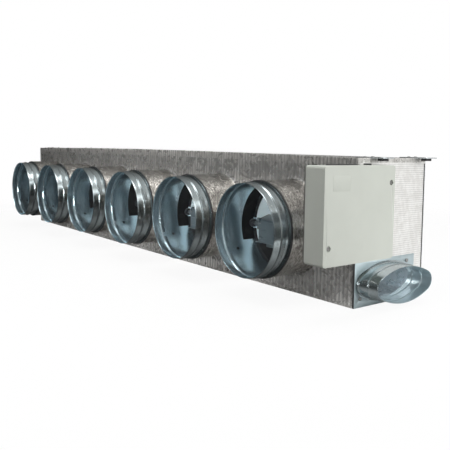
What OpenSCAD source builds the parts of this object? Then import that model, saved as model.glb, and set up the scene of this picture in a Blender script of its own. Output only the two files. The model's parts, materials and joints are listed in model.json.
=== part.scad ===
// Motorised zoning plenum for a ducted air-conditioning unit.
// A long sheet-steel box wrapped in foil-faced insulation, open at the rear.
// Six round damper spigots stand in a row on its front, a control box sits on
// the right end and an oval fresh-air inlet below it.
// Origin: centre of the underside. +X to the control box, -Y to the spigot
// mouths, +Z up. Millimetres.

/* [Casing] */
// Length of the casing over its insulation
case_l = 1740; // [1720:5:1800]
// Depth of the casing from its front face to its rear flange
case_d = 224; // [215:1:260]
// Height of the casing over its insulation
case_h = 305; // [300:1:330]
// Thickness of the foil-faced insulation
foam_t = 5; // [4:0.5:8]
// Thickness of the galvanised sheet
sheet_t = 0.8; // [0.6:0.1:1]
// Width of the lips that are folded inwards on the panels
lip_w = 15; // [10:1:20]
// Length of the opening in the rear, for the air-conditioning unit's outlet
outlet_l = 1280; // [1000:10:1300]
// Height of the rear plate's strips above and below the opening
flange_w = 25; // [20:1:35]

/* [Spigots] */
// Outside diameter of a spigot
spigot_d = 200; // [190:1:204]
// Distance from spigot to spigot
pitch = 275; // [265:1:280]
// Height of the spigots' axes above the underside
axis_z = 149; // [140:1:155]
// How far a spigot stands out of the front face
spigot_out = 144; // [140:1:160]
// Distance of the rolled bead behind the mouth
bead_back = 20; // [16:1:25]
// Distance of the foil sleeve's end behind the mouth
sleeve_back = 42; // [38:1:50]
// Thickness of the foil sleeve
sleeve_t = 4.7; // [3:0.1:6]

/* [Dampers] */
// Distance of the blade's axle behind the mouth
axle_back = 106; // [104:1:110]
// Diameter of the fixed axle
axle_d = 8; // [6:0.5:10]
// Radial running clearance on the axle
play = 0.06; // [0.03:0.01:0.1]
// Gap between the blade's rubber edge and the tube
edge_gap = 1.2; // [1.1:0.1:2]
// How far the rubber edge stands out of the blade's sheet
edge_out = 4; // [3:0.5:6]
// Length of the blade's motor along the axle
motor_l = 96; // [80:1:110]
// Height of the motor above the axle
motor_up = 24; // [18:1:26]
// Depth of the motor below the axle
motor_down = 35; // [30:1:38]
// How far the motor stands in front of the axle
motor_out = 29; // [24:1:32]

/* [Control box] */
// Width of the control box, front to rear
box_w = 198; // [180:1:210]
// Height of the control box
box_h = 184; // [170:1:190]
// Depth of the control box, out from the end of the casing
box_d = 52; // [46:1:60]
// How far the control box stands in front of the casing
box_front = 146; // [130:1:150]
// Height of the control box's top edge
box_top = 292; // [288:1:294]
// Wall thickness of the control box
box_wall = 2.5; // [2:0.1:3]

/* [Fresh-air inlet] */
// Width of the inlet's plate
plate_w = 193; // [190:1:200]
// Height of the inlet's plate
plate_h = 96; // [90:1:100]
// Width of the oval collar
oval_w = 180; // [170:1:180]
// Height of the oval collar
oval_h = 76; // [70:1:76]
// Length of the oval collar
oval_out = 53; // [45:1:70]

/* [Suspension lugs] */
// Width of a lug
lug_w = 36; // [30:1:36]
// How far a lug reaches past the end of the casing
lug_out = 30; // [28:1:40]
// Thickness of a lug
lug_t = 2; // [1.5:0.5:3]

/* [Hidden] */
$fn = 96;

zones = 6;
eps = 0.1;

// Planes of the casing
x_end = case_l / 2;
y_front = -case_d / 2;
y_rear = case_d / 2;
x_steel = x_end - foam_t;
y_steel = y_front + foam_t;
z_low = foam_t;
z_high = case_h - foam_t;
y_flange = y_rear - 1.2;
flange_hole_r = 3.5;

// Spigots, each about its own axis
tube_r = spigot_d / 2;
tube_in = tube_r - sheet_t;
y_mouth = y_front - spigot_out;
y_bead = y_mouth + bead_back;
y_sleeve = y_mouth + sleeve_back;
y_axle = y_mouth + axle_back;
hole_r = tube_r + 0.3;
bead_r = 1.8;
base_flange_r = tube_r + 8;
ring_w = 4;

// Dampers, about the axle
axle_r = axle_d / 2;
bush_r = 9;
bush_l = 9;
blade_t = 1.2;
blade_y = axle_r + 1;
gasket_t = 4;
gasket_y = blade_y - 1.4;
gasket_r = tube_in - edge_gap;
blade_r = gasket_r - edge_out;
notch_x = tube_in - bush_l - 1.2;
notch_z = 12;
saddle_x = 76;
saddle_w = 12;
strap_t = 1.5;
motor_bow = 6;
motor_drop = 10;
lining_r = norm([gasket_r, gasket_y + gasket_t]) + 0.15;
seam_angle = 212.5;
rivet_r = 3;

// Control box
y_box = y_front - box_front;
z_box = box_top - box_h;
base_t = 3;
box_round = 6;
well_r = 7.5;
well_l = 8;
screw_low = [y_box + 14, z_box + 34];
screw_high = [y_box + box_w - 11, box_top - 34];
strip_x = x_end + 8.2;
strip_y = y_box + 46.2;
strip_w = 9.6;
strip_l = 79.6;
grommet_x = x_end + 18;
grommet_y = y_box + 154;
grommet_r = 5;
loom_y = y_front + 17;
loom_z = box_top - 8;
loom_r = 5;

// Fresh-air inlet
inlet_y = y_front + plate_w / 2;
inlet_z = plate_h / 2;
plate_t = 1;
oval_tip = 22;

// Suspension lugs
lug_y = [y_front + 58, y_rear - 20];
lug_on = 42;
lug_hole_x = 16;
rod_hole_r = 4.5;
pad_t = 5.5;
pad_l = 14;
pad_w = 18;

galvanised = [0.72, 0.76, 0.80];
foil = [0.78, 0.76, 0.74];
black_rubber = [0.07, 0.07, 0.08];
box_grey = [0.80, 0.82, 0.79];

function zone_x(i) = (i - (zones + 1) / 2) * pitch;

module block(low, high) {
    translate(low) cube(high - low);
}

// Cylinder along Y, from y0 to y1
module rod_y(r, y0, y1) {
    translate([0, y0, 0]) rotate([-90, 0, 0]) cylinder(r = r, h = y1 - y0);
}

// Cylinder along X, from x0 to x1
module rod_x(r, x0, x1) {
    translate([x0, 0, 0]) rotate([0, 90, 0]) cylinder(r = r, h = x1 - x0);
}

// Moves a spigot's own shape to its place in the row
module at_zone(i) {
    translate([zone_x(i), 0, axis_z]) children();
}

// A flat outline with its width along Y and its height along Z, made thick along X
module slab_x(x0, x1) {
    translate([x0, 0, 0]) rotate([90, 0, 90]) linear_extrude(x1 - x0) children();
}

module rounded_rect(w, h, r) {
    translate([r, 0]) square([w - 2 * r, h]);
    translate([0, r]) square([w, h - 2 * r]);
    for (x = [r, w - r], y = [r, h - r])
        translate([x, y]) circle(r = r);
}

// Oval of four arcs: two long ones of radius big and two tips of radius tip
module oval(half_w, half_h, tip) {
    run = half_w - tip;
    big = (half_h * half_h + run * run - tip * tip) / (2 * (half_h - tip));
    cut = run * big / (big - tip);
    intersection() {
        translate([0, half_h - big]) circle(r = big, $fn = 180);
        translate([0, big - half_h]) circle(r = big, $fn = 180);
        square([2 * cut, 2 * half_h], center = true);
    }
    for (side = [-1, 1])
        translate([side * run, 0]) circle(r = tip);
}

module inlet_oval(grow) {
    translate([inlet_y, inlet_z]) oval(oval_w / 2 + grow, oval_h / 2 + grow, oval_tip + grow);
}

// ---- Casing ----

module zone_holes(r, y0, y1) {
    for (i = [1:zones])
        at_zone(i) rod_y(r, y0 - eps, y1 + eps);
}

module front_panel() {
    x1 = x_steel - sheet_t - 0.1;
    color(galvanised) {
        difference() {
            block([-x1, y_steel, z_low + sheet_t], [x1, y_steel + sheet_t, z_high - sheet_t]);
            zone_holes(hole_r, y_steel, y_steel + sheet_t);
        }
        for (z = [z_low + sheet_t, z_high - 2 * sheet_t])
            block([-x1, y_steel + sheet_t - 0.001, z], [x1, y_steel + lip_w, z + sheet_t]);
    }
}

module long_panel(z0) {
    color(galvanised) block([-x_steel, y_steel, z0], [x_steel, y_flange, z0 + sheet_t]);
}

module top_panel() {
    long_panel(z_high - sheet_t);
}

module bottom_panel() {
    long_panel(z_low);
}

// End panel of the right side: a plate with lips folded inwards along its long edges
module end_panel() {
    x0 = x_steel - sheet_t;
    z0 = z_low + sheet_t;
    z1 = z_high - sheet_t;
    block([x0, y_steel, z0], [x_steel, y_flange, z1]);
    for (z = [z0, z1 - sheet_t])
        block([x0 - lip_w, y_steel + lip_w + 0.5, z], [x0 + 0.001, y_flange, z + sheet_t]);
}

module left_end_panel() {
    color(galvanised) mirror([1, 0, 0]) end_panel();
}

module right_end_panel() {
    color(galvanised) difference() {
        end_panel();
        slab_x(x_steel - sheet_t - eps, x_steel + eps) inlet_oval(0.3);
        translate([0, loom_y, loom_z]) rod_x(loom_r + 0.5, x_steel - 2, x_steel + 1);
    }
}

module front_insulation() {
    color(foil) difference() {
        block([-x_end, y_front, foam_t], [x_end, y_steel, case_h - foam_t]);
        zone_holes(hole_r, y_front, y_steel);
    }
}

module long_insulation(z0) {
    color(foil) block([-x_end, y_front, z0], [x_end, y_flange, z0 + foam_t]);
}

module top_insulation() {
    long_insulation(case_h - foam_t);
}

module bottom_insulation() {
    long_insulation(0);
}

module end_insulation() {
    block([x_steel, y_steel, foam_t], [x_end, y_flange, case_h - foam_t]);
}

module left_end_insulation() {
    color(foil) mirror([1, 0, 0]) end_insulation();
}

module right_end_insulation() {
    color(foil) difference() {
        end_insulation();
        slab_x(x_steel - eps, x_end + eps) inlet_oval(0.3);
        translate([0, loom_y, loom_z]) rod_x(loom_r + 0.5, x_steel - 1, x_end + 1);
    }
}

module rear_flange() {
    x_in = outlet_l / 2;
    z_in = foam_t + flange_w;
    z_hole = foam_t + flange_w / 2;
    color(galvanised) difference() {
        block([-x_end, y_flange, 0], [x_end, y_rear, case_h]);
        block([-x_in, y_flange - eps, z_in], [x_in, y_rear + eps, case_h - z_in]);
        for (x = [-1:0.5:1], z = [z_hole, case_h - z_hole])
            translate([x * (x_in + flange_w / 2), 0, z])
                rod_y(flange_hole_r, y_flange - eps, y_rear + eps);
    }
}

// ---- Spigots ----

// Section of a spigot: tube, rolled bead and base flange. x is the radius, y runs along the axis.
module spigot_section() {
    y_end = y_steel + sheet_t;
    difference() {
        translate([tube_in, y_mouth]) square([sheet_t, y_end + sheet_t - y_mouth]);
        translate([tube_in - 1, y_bead - bead_r]) square([4, 2 * bead_r]);
    }
    intersection() {
        translate([tube_in, y_bead]) difference() {
            circle(r = bead_r + sheet_t, $fn = 32);
            circle(r = bead_r, $fn = 32);
        }
        translate([tube_in, y_bead - 5]) square([5, 10]);
    }
    translate([tube_in, y_end]) square([base_flange_r - tube_in, sheet_t]);
}

module spigot(i) {
    color(galvanised) at_zone(i) rotate([-90, 0, 0]) rotate_extrude() spigot_section();
}

// Ring about a spigot's axis, from radius r0 to r1
module ring_y(r0, r1, y0, y1) {
    difference() {
        rod_y(r1, y0, y1);
        rod_y(r0, y0 - eps, y1 + eps);
    }
}

module spigot_sleeves() {
    color(foil) for (i = [1:zones])
        at_zone(i) ring_y(hole_r, hole_r + sleeve_t, y_sleeve + ring_w, y_front);
}

module sleeve_rings() {
    color(black_rubber) for (i = [1:zones])
        at_zone(i) ring_y(hole_r, hole_r + sleeve_t + 0.6, y_sleeve, y_sleeve + ring_w);
}

// Thin rubber lining round the upper part of the tube, in front of the blade's edge
module spigot_linings() {
    color(black_rubber) for (i = [1:zones])
        at_zone(i) difference() {
            ring_y(lining_r, tube_in, y_axle - 31, y_axle + 2);
            translate([0, y_axle, 0]) rod_x(bush_r + 0.5, -tube_r, tube_r);
            block([-tube_r, y_mouth, -tube_r], [tube_r, y_front, -motor_down - strap_t]);
        }
}

// Heads of two rivets along each tube's lap seam, just inside the tube
module spigot_rivets() {
    color([0.2, 0.2, 0.2]) for (i = [1:zones], back = [-53, 26])
        at_zone(i) translate([0, y_axle + back, 0]) rotate([0, -seam_angle, 0])
            rod_x(rivet_r, tube_in - 1.3, tube_in - 0.1);
}

module axles() {
    color([0.62, 0.64, 0.66]) for (i = [1:zones])
        at_zone(i) translate([0, y_axle, 0]) rod_x(axle_r, 1 - tube_in, tube_in - 1);
}

module axle_bushes() {
    color([0.85, 0.85, 0.82]) for (i = [1:zones], side = [0, 1])
        at_zone(i) mirror([side, 0, 0]) difference() {
            intersection() {
                translate([0, y_axle, 0]) rod_x(bush_r, tube_in - bush_l, tube_r);
                rod_y(tube_in, y_axle - 2 * bush_r, y_axle + 2 * bush_r);
            }
            translate([0, y_axle, 0]) rod_x(axle_r, tube_in - bush_l - 1, tube_r);
        }
}

// ---- Dampers ----

module at_axle(i) {
    at_zone(i) translate([0, y_axle, 0]) children();
}

// Room for the bushes at both ends of the axle
module bush_notches() {
    for (side = [0, 1])
        mirror([side, 0, 0]) block([notch_x, -20, -notch_z], [120, 20, notch_z]);
}

// The part of its children that lies in front of the blade's sheet
module before_blade() {
    intersection() {
        children();
        block([-tube_r, -tube_r, -tube_r], [tube_r, blade_y, tube_r]);
    }
}

module blade(i) {
    color([0.80, 0.84, 0.88]) at_axle(i) difference() {
        rod_y(blade_r, blade_y, blade_y + blade_t);
        bush_notches();
    }
}

module blade_gasket(i) {
    color(black_rubber) at_axle(i) difference() {
        rod_y(gasket_r, gasket_y, gasket_y + gasket_t);
        rod_y(blade_r, blade_y, blade_y + blade_t);
        rod_y(blade_r - 4, blade_y - 3, blade_y + gasket_t);
        bush_notches();
    }
}

// Motor housing with a bowed front and a top that rises towards the blade
module motor_case() {
    bow_r = (pow(motor_l / 2, 2) + pow(motor_bow, 2)) / (2 * motor_bow);
    intersection() {
        slab_x(-motor_l / 2, motor_l / 2)
            polygon([[-motor_out, -motor_down], [blade_y, -motor_down], [blade_y, motor_up],
                [-motor_out, motor_up - motor_drop]]);
        translate([0, bow_r - motor_out, -motor_down - 1])
            cylinder(r = bow_r, h = motor_down + motor_up + 2, $fn = 360);
    }
}

// Geared motor, which is carried by the blade and turns itself about the fixed axle
module motor(i) {
    color([0.22, 0.24, 0.26]) at_axle(i) difference() {
        union() {
            motor_case();
            before_blade() rod_x(axle_r + 4, -motor_l / 2 - 6, motor_l / 2 + 6);
        }
        rod_x(axle_r + play, -motor_l, motor_l);
    }
}

// Ledge under the motor with its foot on the blade, and the two saddles that carry the blade
module blade_fixings(i) {
    ledge_l = motor_l + 8;
    color(galvanised) at_axle(i) {
        block([-ledge_l / 2, -motor_out, -motor_down - strap_t], [ledge_l / 2, blade_y, -motor_down]);
        block([-ledge_l / 2, blade_y - strap_t, -motor_down - 16],
            [ledge_l / 2, blade_y, -motor_down - strap_t + 0.001]);
        for (x = [-saddle_x, saddle_x])
            difference() {
                union() {
                    before_blade() rod_x(axle_r + 3, x - saddle_w / 2, x + saddle_w / 2);
                    block([x - saddle_w / 2, 0, -axle_r - 9], [x + saddle_w / 2, blade_y, axle_r + 9]);
                }
                rod_x(axle_r + play, x - saddle_w, x + saddle_w);
            }
    }
}

// ---- Control box ----

module box_outline(inset) {
    translate([y_box + inset, z_box + inset])
        rounded_rect(box_w - 2 * inset, box_h - 2 * inset, box_round - inset);
}

module at_screws() {
    for (p = [screw_low, screw_high])
        translate([0, p[0], p[1]]) children();
}

module box_base() {
    x1 = x_end + base_t;
    color(box_grey) difference() {
        union() {
            slab_x(x_end, x1) box_outline(0);
            difference() {
                slab_x(x1 - 0.001, x1 + 8) box_outline(box_wall + 0.3);
                slab_x(x1, x1 + 9) box_outline(box_wall + 2.3);
            }
            at_screws() rod_x(5, x1 - 0.001, x_end + box_d - well_l);
        }
        at_screws() rod_x(1.9, x1 + 2, x_end + box_d);
        translate([0, loom_y, loom_z]) rod_x(loom_r + 0.5, x_end - 1, x1 + 9);
    }
}

module box_cover() {
    x0 = x_end + base_t;
    x1 = x_end + box_d;
    color(box_grey) difference() {
        union() {
            difference() {
                slab_x(x0, x1) box_outline(0);
                slab_x(x0 - eps, x1 - box_wall) box_outline(box_wall);
            }
            at_screws() rod_x(well_r, x1 - well_l, x1 - eps);
        }
        at_screws() rod_x(5.5, x1 - well_l + 3, x1 + 1);
        at_screws() rod_x(2.3, x1 - well_l - 1, x1);
        block([strip_x - 0.2, strip_y - 0.2, box_top - box_wall - 1],
            [strip_x + strip_w + 0.2, strip_y + strip_l + 0.2, box_top + 1]);
        translate([grommet_x, grommet_y, box_top - box_wall - 1]) cylinder(r = grommet_r + 0.2, h = 8);
    }
}

// Rubber strip and round rubber grommet where cables enter through the top of the cover
module cable_grommets() {
    color(black_rubber) {
        block([strip_x, strip_y, box_top - box_wall],
            [strip_x + strip_w, strip_y + strip_l, box_top + 1.8]);
        translate([grommet_x, grommet_y, 0]) {
            translate([0, 0, box_top - box_wall - 1.5]) cylinder(r = grommet_r, h = 6);
            translate([0, 0, box_top]) cylinder(r = grommet_r + 3, h = 3);
        }
    }
}

module cover_screws() {
    x1 = x_end + box_d;
    color([0.35, 0.36, 0.35]) at_screws() difference() {
        union() {
            rod_x(4.4, x1 - well_l + 3, x1 - 2);
            rod_x(1.8, x1 - 30, x1 - well_l + 3.001);
        }
        block([x1 - 3, -3, -0.6], [x1, 3, 0.6]);
        block([x1 - 3, -0.6, -3], [x1, 0.6, 3]);
    }
}

module circuit_board() {
    x0 = x_end + base_t + 8;
    y0 = y_box + 28;
    z0 = z_box + 30;
    color([0.05, 0.35, 0.18]) {
        block([x0, y0, z0], [x0 + 1.6, y0 + 140, z0 + 115]);
        for (y = [y0 + 8, y0 + 132], z = [z0 + 8, z0 + 107])
            translate([0, y, z]) rod_x(3, x_end + base_t, x0 + 0.001);
    }
}

// One pluggable terminal block for each zone
module terminal_blocks() {
    x0 = x_end + base_t + 9.6;
    color([0.10, 0.45, 0.25]) for (i = [0:zones - 1])
        block([x0, y_box + 34 + 22 * i, z_box + 36], [x0 + 12, y_box + 52 + 22 * i, z_box + 48]);
}

// Plate behind the part of the control box that stands in front of the casing
module box_bracket() {
    z0 = z_box + 14;
    z1 = box_top - 14;
    color(galvanised) {
        block([x_end - 1.5, y_box + 8, z0], [x_end, y_front, z1]);
        block([x_end - 26, y_front - 1.5, z0], [x_end - 1.499, y_front, z1]);
    }
}

module wiring_loom() {
    color([0.12, 0.12, 0.13]) translate([0, loom_y, loom_z])
        rod_x(loom_r, zone_x(1), x_end + base_t + 4);
}

// ---- Fresh-air inlet ----

module inlet_plate() {
    color(galvanised) difference() {
        slab_x(x_end, x_end + plate_t)
            translate([y_front, 0.5]) square([plate_w, plate_h - 0.5]);
        slab_x(x_end - eps, x_end + plate_t + eps) inlet_oval(0);
        at_plate_screws() rod_x(2.2, x_end - eps, x_end + plate_t + eps);
    }
}

module at_plate_screws() {
    for (p = [[-80, -29], [70, 35]])
        translate([0, inlet_y + p[0], inlet_z + p[1]]) children();
}

module plate_screws() {
    color([0.35, 0.36, 0.38]) at_plate_screws() {
        rod_x(4, x_end + plate_t, x_end + plate_t + 2.2);
        rod_x(2, x_end + 0.2, x_end + plate_t + 0.001);
    }
}

// Oval collar with a turned-out foot on the plate and one rib
module inlet_collar() {
    x0 = x_steel - sheet_t - 2;
    x1 = x_end + plate_t;
    x_rib = x1 + oval_out * 0.53;
    color([0.76, 0.82, 0.88]) difference() {
        union() {
            slab_x(x0, x1 + oval_out) inlet_oval(-0.2);
            slab_x(x1, x1 + 0.8) inlet_oval(4);
            slab_x(x_rib - 1.5, x_rib + 1.5) inlet_oval(1);
        }
        slab_x(x0 - 1, x1 + oval_out + 1) inlet_oval(-1);
    }
}

// ---- Suspension lugs ----

// Draws the right-hand lug's shape at all four places
module at_lugs() {
    for (side = [0, 1], y = lug_y)
        mirror([side, 0, 0]) translate([x_end, y, case_h]) children();
}

module rod_hole(z0, z1) {
    translate([lug_hole_x, 0, z0]) cylinder(r = rod_hole_r, h = z1 - z0);
}

module suspension_lugs() {
    color(galvanised) at_lugs() difference() {
        block([-lug_on, -lug_w / 2, 0], [lug_out, lug_w / 2, lug_t]);
        rod_hole(-eps, lug_t + eps);
        for (y = [-12, 12])
            translate([-lug_on / 2, y, -eps]) cylinder(r = 2.5, h = lug_t + 1);
    }
}

// Rubber block under each lug, round the hole for the hanging rod
module lug_pads() {
    color(black_rubber) at_lugs() difference() {
        block([lug_hole_x - pad_l / 2, -pad_w / 2, -pad_t], [lug_hole_x + pad_l / 2, pad_w / 2, 0]);
        rod_hole(-pad_t - eps, eps);
    }
}

front_panel();
top_panel();
bottom_panel();
left_end_panel();
right_end_panel();
front_insulation();
top_insulation();
bottom_insulation();
left_end_insulation();
right_end_insulation();
rear_flange();
spigot(1);  // spigot_1
spigot(2);  // spigot_2
spigot(3);  // spigot_3
spigot(4);  // spigot_4
spigot(5);  // spigot_5
spigot(6);  // spigot_6
spigot_sleeves();
sleeve_rings();
spigot_linings();
spigot_rivets();
axles();
axle_bushes();
blade(1);  // blade_1
blade(2);  // blade_2
blade(3);  // blade_3
blade(4);  // blade_4
blade(5);  // blade_5
blade(6);  // blade_6
blade_gasket(1);  // blade_gasket_1
blade_gasket(2);  // blade_gasket_2
blade_gasket(3);  // blade_gasket_3
blade_gasket(4);  // blade_gasket_4
blade_gasket(5);  // blade_gasket_5
blade_gasket(6);  // blade_gasket_6
motor(1);  // motor_1
motor(2);  // motor_2
motor(3);  // motor_3
motor(4);  // motor_4
motor(5);  // motor_5
motor(6);  // motor_6
blade_fixings(1);  // blade_fixings_1
blade_fixings(2);  // blade_fixings_2
blade_fixings(3);  // blade_fixings_3
blade_fixings(4);  // blade_fixings_4
blade_fixings(5);  // blade_fixings_5
blade_fixings(6);  // blade_fixings_6
box_base();
box_cover();
cover_screws();
circuit_board();
terminal_blocks();
box_bracket();
cable_grommets();
wiring_loom();
inlet_plate();
inlet_collar();
plate_screws();
suspension_lugs();
lug_pads();
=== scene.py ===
"""Looks of a motorised zoning plenum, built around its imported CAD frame.

Metres, in the CAD frame: +X to the control box, -Y out of the spigots' mouths, +Z up.
"""

import json
import math

import bmesh
import bpy
from mathutils import Matrix, Vector, noise


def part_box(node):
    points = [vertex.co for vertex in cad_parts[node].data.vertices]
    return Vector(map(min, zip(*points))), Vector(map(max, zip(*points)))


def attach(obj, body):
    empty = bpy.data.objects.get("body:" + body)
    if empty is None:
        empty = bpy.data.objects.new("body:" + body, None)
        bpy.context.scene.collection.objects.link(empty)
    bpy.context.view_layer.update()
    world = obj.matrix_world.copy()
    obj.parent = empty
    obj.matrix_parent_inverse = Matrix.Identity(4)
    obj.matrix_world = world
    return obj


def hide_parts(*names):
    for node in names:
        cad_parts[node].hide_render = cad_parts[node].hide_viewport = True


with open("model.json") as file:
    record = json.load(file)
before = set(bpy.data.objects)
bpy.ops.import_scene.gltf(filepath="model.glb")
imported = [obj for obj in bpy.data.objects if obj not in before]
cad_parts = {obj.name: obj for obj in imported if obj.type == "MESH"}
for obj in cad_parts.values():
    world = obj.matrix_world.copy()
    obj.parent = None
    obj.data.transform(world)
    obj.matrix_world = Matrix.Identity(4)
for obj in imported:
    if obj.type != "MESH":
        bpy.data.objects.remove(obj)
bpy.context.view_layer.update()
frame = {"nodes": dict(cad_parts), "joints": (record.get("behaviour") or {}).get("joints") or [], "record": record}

MM = 0.001
NODES = frame["nodes"]
RECORD = frame["record"]
MOUNTS = {m["name"]: m for m in RECORD["mounts"]}
SLOT_OF = {part["node"]: part["material_slot"] for part in RECORD["subparts"]}
BODY_OF = {n: body for body, members in RECORD["behaviour"]["bodies"].items() for n in members}
JOINTS = {j["child"]: j for j in frame["joints"]}
ZONES = sorted(int(n[7:]) for n in NODES if n.startswith("spigot_") and n[7:].isdigit())


# ------------------------ places


class Zone:
    """Where one spigot and its damper are."""

    def __init__(self, number):
        low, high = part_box(f"spigot_{number}")
        self.number = number
        self.x = (low.x + high.x) / 2
        self.z = (low.z + high.z) / 2
        self.mouth = low.y
        self.base = high.y
        self.axle = Vector(JOINTS[f"damper_{number}"]["pos_m"])
        self.body = f"damper_{number}"


zones = [Zone(n) for n in ZONES]
front_low, front_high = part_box("front_insulation")
case_low = Vector((front_low.x, front_low.y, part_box("bottom_insulation")[0].z))
case_high = Vector((front_high.x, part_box("rear_flange")[1].y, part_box("top_insulation")[1].z))
tube_r = MOUNTS["spigot_1_duct"]["dims"]["r_mm"] * MM
sheet_t = 0.8 * MM
foam_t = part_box("bottom_insulation")[1].z - case_low.z


# ------------------------ node trees


def link_nodes(tree, kind, inputs=(), **props):
    """Adds a shader node to a tree; an input is a value or another node's output socket."""
    made = tree.nodes.new("ShaderNode" + kind)
    for key, value in props.items():
        setattr(made, key, value)
    for key, value in dict(inputs).items():
        if isinstance(value, bpy.types.NodeSocket):
            tree.links.new(value, made.inputs[key])
        else:
            made.inputs[key].default_value = value
    return made


def node(mat, kind, inputs=(), **props):
    """Adds a shader node to a material."""
    return link_nodes(mat.node_tree, kind, inputs, **props)


def material(name, **sockets):
    """A Principled material with these uniform values; underscores in a name stand for spaces."""
    mat = bpy.data.materials.new(name)
    mat.use_nodes = True
    shader = mat.node_tree.nodes["Principled BSDF"]
    for key, value in sockets.items():
        shader.inputs[key.replace("_", " ")].default_value = value
    return mat


def drive(mat, **sockets):
    """Links node outputs to the Principled shader's sockets."""
    shader = mat.node_tree.nodes["Principled BSDF"]
    for key, output in sockets.items():
        mat.node_tree.links.new(output, shader.inputs[key.replace("_", " ")])


def coords(mat, stretch=(1, 1, 1)):
    """Object coordinates, in metres, stretched along each axis."""
    place = node(mat, "TexCoord").outputs["Object"]
    return node(mat, "Mapping", {"Vector": place, "Scale": stretch}).outputs["Vector"]


def grain(mat, scale, detail=3.0, distortion=0.0, stretch=(1, 1, 1), roughness=0.5):
    """Noise with features about 1/scale metres across."""
    inputs = {
        "Vector": coords(mat, stretch),
        "Scale": scale,
        "Detail": detail,
        "Distortion": distortion,
        "Roughness": roughness,
    }
    return node(mat, "TexNoise", inputs).outputs["Fac"]


def set_stops(made, stops):
    """Gives a colour ramp node its stops: (position, colour or grey)."""
    elements = made.color_ramp.elements
    while len(elements) < len(stops):
        elements.new(0.5)
    for element, (position, value) in zip(elements, stops):
        grey = isinstance(value, (int, float))
        element.position = position
        element.color = (value, value, value, 1) if grey else (*value, 1)
    return made.outputs["Color"]


def ramp(mat, fac, *stops):
    """Colours or greys along fac."""
    return set_stops(node(mat, "ValToRGB", {"Fac": fac}), stops)


def bump(mat, height, distance, strength=1.0, under=None):
    """A bumped normal; distance is the height's depth in metres, under another bump's normal."""
    inputs = {"Height": height, "Distance": distance, "Strength": strength}
    if under is not None:
        inputs["Normal"] = under
    return node(mat, "Bump", inputs).outputs["Normal"]


def maths(mat, operation, a, b):
    """Arithmetic on two values or outputs."""
    return node(mat, "Math", {0: a, 1: b}, operation=operation).outputs[0]


def blend_colour(mat, fac, a, b):
    """Colour a where fac is 0, and b where it is 1."""
    return node(mat, "MixRGB", {"Fac": fac, "Color1": a, "Color2": b}).outputs["Color"]


def bands(mat, direction, period, sharp=0.75, wander=0.6):
    """Thin raised lines a period apart, at right angles to direction."""
    own_period = math.pi / 10
    inputs = {
        "Vector": coords(mat),
        "Scale": own_period / period,
        "Distortion": wander,
        "Detail": 1.0,
        "Detail Scale": 0.6,
    }
    wave = node(mat, "TexWave", inputs, wave_type="BANDS", bands_direction=direction)
    return ramp(mat, wave.outputs["Fac"], (sharp, 0.0), (1.0, 1.0))


# ------------------------ materials


def galvanised(name, tint, spangle=95, gloss=(0.22, 0.36), streak=0.04, metallic=1.0, patch=0.16):
    """Zinc-coated sheet: crystal spangle, soft cloudiness and faint rolling streaks.

    streak is the streaks' depth in millimetres, and patch the strength of the cloudiness.
    """
    mat = material(name, Metallic=metallic)
    cells = node(mat, "TexVoronoi", {"Vector": coords(mat), "Scale": spangle, "Randomness": 1.0})
    facet = node(mat, "RGBToBW", {"Color": cells.outputs["Color"]}).outputs["Val"]
    cloud = grain(mat, 14, 4, 0.4)
    shares = [maths(mat, "MULTIPLY", part, share) for part, share in ((facet, 0.35), (cloud, 0.65))]
    mixed = maths(mat, "ADD", *shares)
    dark = [c * (1 - patch) for c in tint]
    light = [min(1.0, c * (1 + patch / 2)) for c in tint]
    rub = grain(mat, 60, 5, 0.2, stretch=(1, 5, 1))
    drive(
        mat,
        Base_Color=ramp(mat, mixed, (0.2, dark), (0.75, light)),
        Roughness=ramp(mat, rub, (0.3, gloss[0]), (0.75, gloss[1])),
        Normal=bump(mat, rub, streak * MM, 0.5, bump(mat, cloud, 3 * patch * MM, 0.25)),
    )
    return mat


def foil(
    name,
    tint,
    dark,
    across,
    ripple,
    creases=1.0,
    gloss=(0.22, 0.42),
    thread=0.0,
    contrast=0.08,
    metallic=1.0,
    pitch=4.6 * MM,
    thin=0.75,
):
    """Aluminium foil over scrim: raised threads, directional ripples and creases.

    across: the axes along which the threads repeat, a pitch apart; thin: how narrow they are
    ripple: how fine the ripples are along each axis; creases: their depth
    thread: how dark the threads are; contrast: how softly tint turns into dark
    """
    mat = material(name, Metallic=metallic)
    threads = [bands(mat, direction, pitch, thin) for direction in across]
    scrim = maths(mat, "MAXIMUM", *threads)
    ripples = grain(mat, 1.0, 4, 0.4, stretch=ripple, roughness=0.65)
    folds = grain(mat, 34, 5, 1.6, roughness=0.6)
    shares = [maths(mat, "MULTIPLY", part, share) for part, share in ((ripples, 0.85), (folds, 0.15))]
    tone = maths(mat, "ADD", *shares)
    shade = ramp(mat, tone, (0.5 - contrast, dark), (0.5 + contrast, tint))
    lines = maths(mat, "MULTIPLY", scrim, thread)
    shade = blend_colour(mat, lines, shade, (*[c * 0.35 for c in tint], 1))
    normal = bump(mat, folds, 1.1 * MM * creases, 0.6)
    normal = bump(mat, ripples, 0.9 * MM * creases, 0.9, normal)
    normal = bump(mat, scrim, 0.033 * pitch, 0.8, normal)
    drive(
        mat,
        Base_Color=shade,
        Roughness=ramp(mat, folds, (0.35, gloss[0]), (0.65, gloss[1])),
        Normal=normal,
    )
    return mat


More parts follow.
